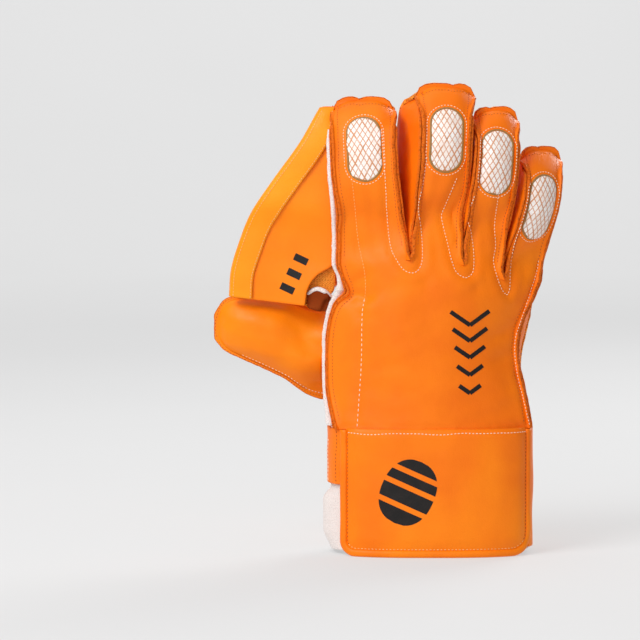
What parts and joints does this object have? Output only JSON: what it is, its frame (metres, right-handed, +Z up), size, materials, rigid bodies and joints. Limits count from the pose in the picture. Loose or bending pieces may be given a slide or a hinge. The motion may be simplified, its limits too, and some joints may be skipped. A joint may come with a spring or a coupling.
{
  "type": "wicketkeeping glove",
  "caption": "Padded leather glove for a wicketkeeper's right hand: webbed thumb, pimpled rubber palm, slit fingers with satin windows, and a broad cuff it stands on.",
  "frame": {"origin": "on the floor, under the middle of the box around the glove", "axes": "+Z up from the cuff's foot to the fingertips, -Y out of the back of the hand, +Y out of the palm, the thumb towards -X"},
  "size_m": [0.2166, 0.0734, 0.2903],
  "materials": {
    "back_leather": "satin grained leather, dyed orange",
    "gusset_leather": "thin satin leather, dyed orange",
    "web_leather": "satin leather, dyed orange",
    "tape_leather": "thin edge binding, dyed light orange",
    "cuff_leather": "padded satin leather, dyed orange",
    "pimpled_rubber": "matt rubber facing with fine pimples",
    "towelling": "white cotton towelling",
    "satin": "white satin with a fine orange line pattern"
  },
  "bodies": {
    "root": {"back_panel": "back_leather", "palm_panel": "pimpled_rubber", "gusset_index_middle": "gusset_leather", "gusset_middle_ring": "gusset_leather", "gusset_ring_little": "gusset_leather", "side_gusset_index": "gusset_leather", "side_gusset_little": "gusset_leather", "thumb_back": "back_leather", "web_back": "web_leather", "web_palm": "web_leather", "web_tape": "tape_leather", "lining_edge": "towelling", "lining_wrist": "towelling", "lining_crotch": "towelling", "lining_cuff": "towelling", "cuff_back": "cuff_leather", "cuff_palm": "cuff_leather", "cuff_side_thumb": "cuff_leather", "cuff_side_little": "cuff_leather", "cuff_rim_back": "cuff_leather", "cuff_rim_palm": "cuff_leather", "window_index": "satin", "window_middle": "satin", "window_ring": "satin", "window_little": "satin"}
  },
  "joints": []
}
